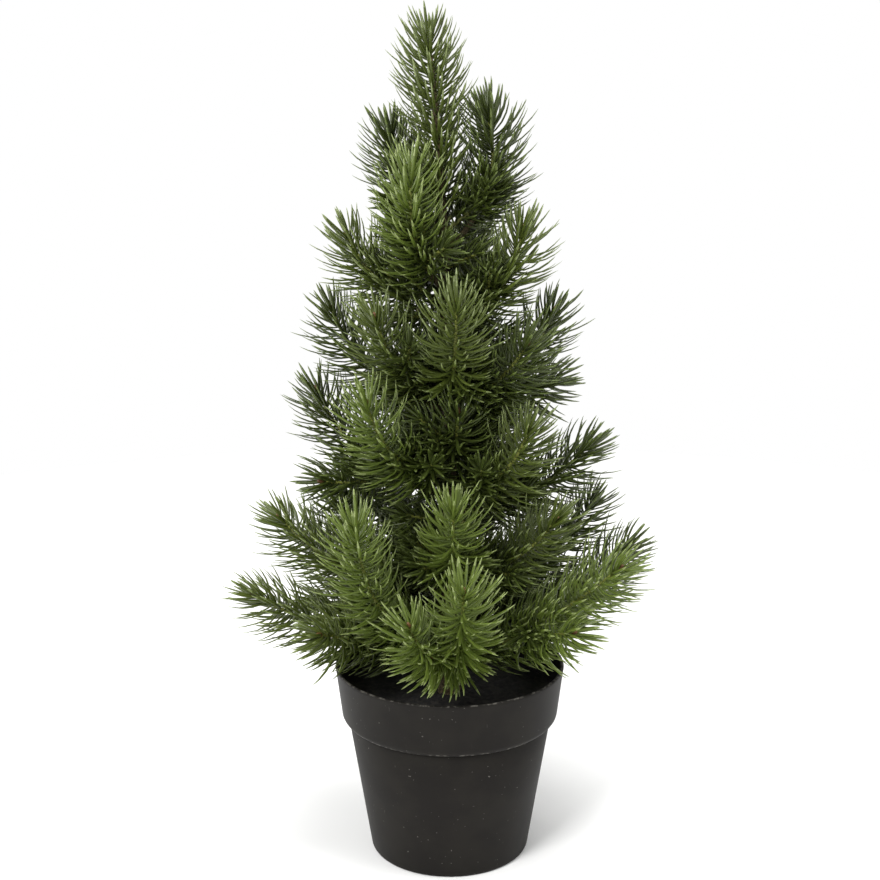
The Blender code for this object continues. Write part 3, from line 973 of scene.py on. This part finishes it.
def small_side_shoot(one, way):
    """A short shoot that leaves the main stem to one side, most often upwards."""
    share = choose.uniform(SIDE_SHOOT_FIRST, SIDE_SHOOT_LAST)
    start, further = main_line(one, share, share + LOOK_AHEAD, 2)
    ahead = (further - start) / np.linalg.norm(further - start)
    across = np.cross(ahead, UPWARD)
    across /= np.linalg.norm(across)
    lift = np.array((0.0, 0.0, choose.uniform(*SIDE_SHOOT_LIFT)))
    aim = ahead * SIDE_SHOOT_AHEAD + across * way * choose.uniform(*SIDE_SHOOT_SPREAD) + lift
    aim /= np.linalg.norm(aim)
    end = start + aim * choose.uniform(*SIDE_SHOOT_LENGTH)
    return np.linspace(start, end, SMALL_STEPS)


# %% Sprays with their needles
# which way side shoots turn, the bare length at their foot and how long their needles are
SIDE_WAYS = (-1, 1, -0.4, 0.4)
SIDE_SHOOT_BARE = 0.002
SIDE_NEEDLE_SHARE = 0.72
SMALL_SIDES = 6
SMALL_SPACING = 0.0006
FORK_BARE_SHARE = 0.15

needle_sets = {"deep": [], "middle": [], "painted_light": []}
bud_places = []
for one in SPRAYS:
    line = main_line(one, 0.0, 1.0, STEM_STEPS * 2)
    length = along_line(line)[-1]
    spacing = TOP_SPACING if one.foot > TOP_TIER_FROM else NEEDLE_SPACING
    needle_sets[one.tone].append(needles_on(line, one.bare * length, 1.0, spacing))
    bud_places.append((line[-1], line[-1] - line[-3]))
    for shoot in one.shoots[1:]:
        fork = side_line(one, shoot, STEM_STEPS)
        bare = FORK_BARE_SHARE * along_line(fork)[-1]
        needle_sets[one.tone].append(needles_on(fork, bare))
        bud_places.append((fork[-1], fork[-1] - fork[-3]))
    for way in SIDE_WAYS:
        small = small_side_shoot(one, way)
        twig_parts.append(wrapped_stem(small, SHOOT_FOOT_RADIUS, SHOOT_TIP_RADIUS, SMALL_SIDES))
        side_needles = needles_on(small, SIDE_SHOOT_BARE, SIDE_NEEDLE_SHARE, SMALL_SPACING)
        # needles inside the crown take the darkest green, which is painted shade
        needle_sets["deep"].append(side_needles)
print("shoots with a bud:", len(bud_places))

# %% Leader and shoots round the trunk
LEADER_STEPS = 8
LEADER_STEM_FROM = TRUNK_TOP - 0.004
TRUNK_SHOOTS_FROM = 0.125
TRUNK_SHOOTS_TO = 0.335
TRUNK_SHOOT_STEP = 0.0045
TRUNK_SHOOT_RISE = (0.2, 0.9)
TRUNK_SHOOT_LENGTH = (0.024, 0.034)
TRUNK_SHOOT_BARE = 0.006
TRUNK_NEEDLE_SHARE = 0.75

leader = trunk_line(LEADER_FOOT, LEADER_TIP, STEM_STEPS)
needle_sets["middle"].append(needles_on(leader, 0.0, 1.0, TOP_SPACING))
bud_places.append((leader[-1], leader[-1] - leader[-3]))
leader_tip = trunk_line(LEADER_STEM_FROM, LEADER_TIP, LEADER_STEPS)
twig_parts.append(wrapped_stem(leader_tip, TRUNK_TOP_RADIUS, SHOOT_TIP_RADIUS, SHOOT_SIDES))
for height in np.arange(TRUNK_SHOOTS_FROM, TRUNK_SHOOTS_TO, TRUNK_SHOOT_STEP):
    start = trunk_axis(height)
    rise = np.array((0.0, 0.0, choose.uniform(*TRUNK_SHOOT_RISE)))
    aim = outward(choose.uniform(0, 360)) + rise
    end = start + aim / np.linalg.norm(aim) * choose.uniform(*TRUNK_SHOOT_LENGTH)
    small = np.linspace(start, end, SMALL_STEPS)
    twig_parts.append(wrapped_stem(small, SHOOT_FOOT_RADIUS, SHOOT_TIP_RADIUS, SMALL_SIDES))
    side_needles = needles_on(small, TRUNK_SHOOT_BARE, TRUNK_NEEDLE_SHARE, SMALL_SPACING)
    # needles inside the crown take the darkest green, which is painted shade
    needle_sets["deep"].append(side_needles)
print("needles:", sum(len(points) for sets in needle_sets.values() for points in sets))

# %% Twigs
# Bare polyethylene stems are smooth and a little waxy: they look yellow olive and catch light.
twigs = joined_mesh("moulded_twigs", twig_parts)
stem_plastic = mottled_material(
    "moulded_polyethylene_stem",
    ("#6C7034", "#828840"),
    roughness=0.45,
    size_mm=2.0,
    detail=3.0,
    fade=(0.35, 0.65),
)
finish_piece(twigs, stem_plastic, "stem")

# %% [markdown]
# Needle colours
#
# Moulded polyethylene is a little glossy. The eye sees dark green with pale glints along the
# needles. Each needle's tip takes a paler green, which is painted light for the light that
# shines through the thin plastic there. The sprays aren't all one green: the lowest ones at
# the front take a lighter green, which is painted light, and those that stand behind take a
# darker one, which is painted shade, so each spray takes one of three plain greens. Noise of a
# few millimetres changes only the gloss, so the glints differ from needle to needle.

# %% A function for needle plastic
GLOSS_SIZE = 5.0 * MM
GLOSS_RANGE = (0.28, 0.46)
NEEDLE_ROUGHNESS = 0.36


def needle_plastic(name, green):
    """Plain green plastic whose gloss changes a little along the needles."""
    material, shader = new_material(name, green, NEEDLE_ROUGHNESS)
    place = add_node(material, "ShaderNodeTexCoord", {}, "Object")
    pattern = add_node(
        material, "ShaderNodeTexNoise", {"Vector": place, "Scale": 1.0 / GLOSS_SIZE}
    )
    gloss = add_node(
        material,
        "ShaderNodeMapRange",
        {"Value": pattern, "To Min": GLOSS_RANGE[0], "To Max": GLOSS_RANGE[1]},
    )
    material.node_tree.links.new(gloss, shader.inputs["Roughness"])
    return material


# %% Needles
# the middle green is the plastic's own; the lighter is painted light and the darker painted shade
GREENS = {"deep": "#3C4719", "middle": "#4E5A22", "painted_light": "#5E6E2B"}
# paler tip greens are painted light, for light that shines through the thin plastic
TIP_LIGHT_GREENS = {"deep": "#5C6A32", "middle": "#778350", "painted_light": "#87945A"}
MASSES = [name for name in NODES if name.startswith("needles_")]
TONES = {"needles_" + one.place: one.tone for one in SPRAYS}
TONES["needles_leader"] = "middle"
MOST_TRIANGLES = 190000

for tone, green in GREENS.items():
    polyethylene = needle_plastic("moulded_polyethylene_" + tone, green)
    tip_light_plastic = needle_plastic("polyethylene_tip_painted_light_" + tone, TIP_LIGHT_GREENS[tone])
    points = np.concatenate(needle_sets[tone])
    pieces = math.ceil(len(points) * len(NEEDLE_FACES) / MOST_TRIANGLES)
    for number, some in enumerate(np.array_split(points, pieces)):
        firsts = np.arange(len(some)) * len(NEEDLE_POINTS)
        faces = (firsts[:, None, None] + NEEDLE_FACES).reshape(-1, 3)
        piece = joined_mesh(f"needles_{tone}_{number + 1}", [(some.reshape(-1, 3), faces)])
        stands_for = [name for name in MASSES if TONES[name] == tone] if number == 0 else []
        finish_piece(piece, polyethylene, "needles", *stands_for)
        piece.data.materials.append(tip_light_plastic)
        second_material = np.tile(IS_TIP, len(some)).astype(np.int32)
        piece.data.polygons.foreach_set("material_index", second_material)

# %% [markdown]
# Buds
#
# At the tips of the longer shoots the real needles meet round a small reddish-brown bud. It is
# drawn up once from a few rings and laid at each tip, pointing the way that the shoot grows.
# Moulded in the same plastic as the stems, it looks dull and rusty.

# %% The bud to copy
BUD_LENGTH = 0.0042
BUD_RADIUS = 0.0011
BUD_SIDES = 8
BUD_RINGS = [(0.55, 0.0), (0.95, 0.2), (1.0, 0.4), (0.75, 0.7), (0.35, 0.92)]

bud_model = drawn_up("bud", BUD_SIDES, BUD_RINGS, closed_foot=False)
bud_model.data.calc_loop_triangles()
BUD_POINTS = np.array([tuple(vertex.co) for vertex in bud_model.data.vertices])
BUD_FACES = np.array([tuple(face.vertices) for face in bud_model.data.loop_triangles])
bpy.data.objects.remove(bud_model, do_unlink=True)
print("a bud has", len(BUD_FACES), "triangles")

# %% Buds
bud_parts = []
for tip, way in bud_places:
    turn = Vector(way).normalized().to_track_quat("Z", "Y").to_matrix()
    scaled = BUD_POINTS * (BUD_RADIUS, BUD_RADIUS, BUD_LENGTH)
    bud_parts.append((scaled @ np.array(turn).T + tip, BUD_FACES))
buds = joined_mesh("shoot_buds", bud_parts)
moulded_bud = mottled_material(
    "moulded_polyethylene_bud",
    ("#5E4026", "#785432"),
    roughness=0.5,
    size_mm=1.0,
    detail=2.0,
    fade=(0.35, 0.65),
)
finish_piece(buds, moulded_bud, "stem")
